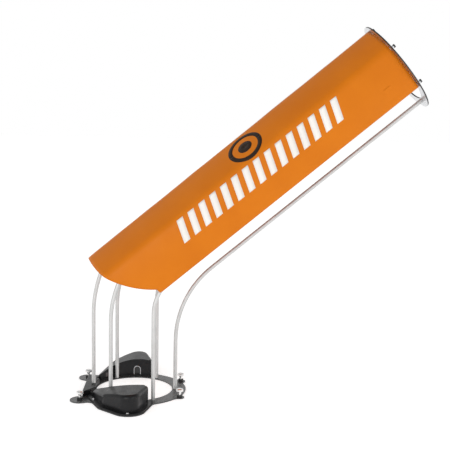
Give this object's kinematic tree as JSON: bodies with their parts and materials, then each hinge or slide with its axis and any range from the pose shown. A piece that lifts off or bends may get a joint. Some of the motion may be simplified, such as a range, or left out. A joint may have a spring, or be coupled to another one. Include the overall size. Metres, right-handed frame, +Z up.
{
  "type": "ball feeder for a ball-throwing machine",
  "caption": "Sloping gravity feeder for large balls: bent guide rods, a mouth ring and a cover sheet lead down to a base plate with motorised gate fingers.",
  "frame": {"origin": "centre of the ball outlet, on the underside of the base plate", "axes": "+Z up, +X towards the side that the chute rises to, +Y to the back"},
  "size_m": [1.0548, 0.5068, 1.1156],
  "materials": {
    "powder_black": "textured powder coat, semi-matt",
    "rod_aluminium": "satin anodised",
    "housing_plastic": "moulded, fine grain, semi-matt",
    "seal_rubber": "matt",
    "bright_steel": "zinc plated",
    "black_steel": "black oxide",
    "knurled_aluminium": "turned and knurled",
    "bezel_chrome": "polished",
    "black_acetal": "machined, satin",
    "white_acetal": "machined, satin",
    "gear_brass": "cut",
    "motor_steel": "drawn can",
    "battery_wrap": "shrink wrap",
    "board_green": "solder mask",
    "window_smoked": "smoked acrylic",
    "harness_rubber": "sleeved",
    "cover_orange": "coated sheet, satin"
  },
  "bodies": {
    "root": {"base_plate": "powder_black", "top_ring": "bright_steel", "rear_bridge": "housing_plastic", "cover_sheet": "cover_orange", "battery_pack": "battery_wrap", "control_board": "board_green", "sensor_window": "window_smoked", "ball_sensor": "black_acetal", "wire_harness": "harness_rubber", "front_housing": "housing_plastic", "back_housing": "housing_plastic", "front_gasket": "seal_rubber", "back_gasket": "seal_rubber", "front_gate_bezel": "bezel_chrome", "back_gate_bezel": "bezel_chrome", "front_gate_guide": "white_acetal", "back_gate_guide": "white_acetal", "front_gear_motor": "motor_steel", "back_gear_motor": "motor_steel", "front_motor_bracket": "bright_steel", "back_motor_bracket": "bright_steel", "guide_rod_bottom": "rod_aluminium", "guide_rod_lower_back": "rod_aluminium", "guide_rod_upper_back": "rod_aluminium", "guide_rod_top": "rod_aluminium", "guide_rod_upper_front": "rod_aluminium", "guide_rod_lower_front": "rod_aluminium", "rod_base_screws": "bright_steel", "rod_collars": "rod_aluminium", "ring_spacers": "bright_steel", "ring_screws": "black_steel", "thumb_screw_bosses": "black_acetal", "housing_screws": "bright_steel", "bracket_screws": "bright_steel", "bridge_screws": "bright_steel", "board_standoffs": "gear_brass"},
    "front_gate": {"front_gate_finger": "black_acetal", "front_gate_rack": "white_acetal"},
    "back_gate": {"back_gate_finger": "black_acetal", "back_gate_rack": "white_acetal"},
    "front_drive": {"front_pinion": "gear_brass"},
    "back_drive": {"back_pinion": "gear_brass"},
    "rear_front_screw": {"thumb_screw_rear_front": "knurled_aluminium"},
    "rear_back_screw": {"thumb_screw_rear_back": "knurled_aluminium"},
    "tab_front_screw": {"thumb_screw_tab_front": "knurled_aluminium"},
    "tab_back_screw": {"thumb_screw_tab_back": "knurled_aluminium"}
  },
  "joints": [
    {"name": "front_gate_slide", "type": "slide", "parent": "root", "child": "front_gate", "axis": [0, 1, 0], "range_m": [0, 0.03]},
    {"name": "back_gate_slide", "type": "slide", "parent": "root", "child": "back_gate", "axis": [0, -1, 0], "range_m": [0, 0.03]},
    {"name": "front_pinion_spin", "type": "hinge", "parent": "root", "child": "front_drive", "pos_m": [-0.02275, -0.192, 0.017], "axis": [0, 0, 1], "range_deg": [-2, 200]},
    {"name": "back_pinion_spin", "type": "hinge", "parent": "root", "child": "back_drive", "pos_m": [-0.02275, 0.192, 0.017], "axis": [0, 0, -1], "range_deg": [-2, 200]},
    {"name": "rear_front_screw_spin", "type": "hinge", "parent": "root", "child": "rear_front_screw", "pos_m": [-0.15487, -0.11006, 0.01], "axis": [0, 0, 1], "continuous": true},
    {"name": "rear_back_screw_spin", "type": "hinge", "parent": "root", "child": "rear_back_screw", "pos_m": [-0.15487, 0.11006, 0.01], "axis": [0, 0, 1], "continuous": true},
    {"name": "tab_front_screw_spin", "type": "hinge", "parent": "root", "child": "tab_front_screw", "pos_m": [0.14199, -0.07903, 0.01], "axis": [0, 0, 1], "continuous": true},
    {"name": "tab_back_screw_spin", "type": "hinge", "parent": "root", "child": "tab_back_screw", "pos_m": [0.14199, 0.07903, 0.01], "axis": [0, 0, 1], "continuous": true}
  ],
  "couplings": [
    {"joint": "back_gate_slide", "follows": "front_gate_slide", "ratio": 1},
    {"joint": "front_pinion_spin", "follows": "front_gate_slide", "rad_per_m": 114.29},
    {"joint": "back_pinion_spin", "follows": "front_gate_slide", "rad_per_m": 114.29}
  ]
}
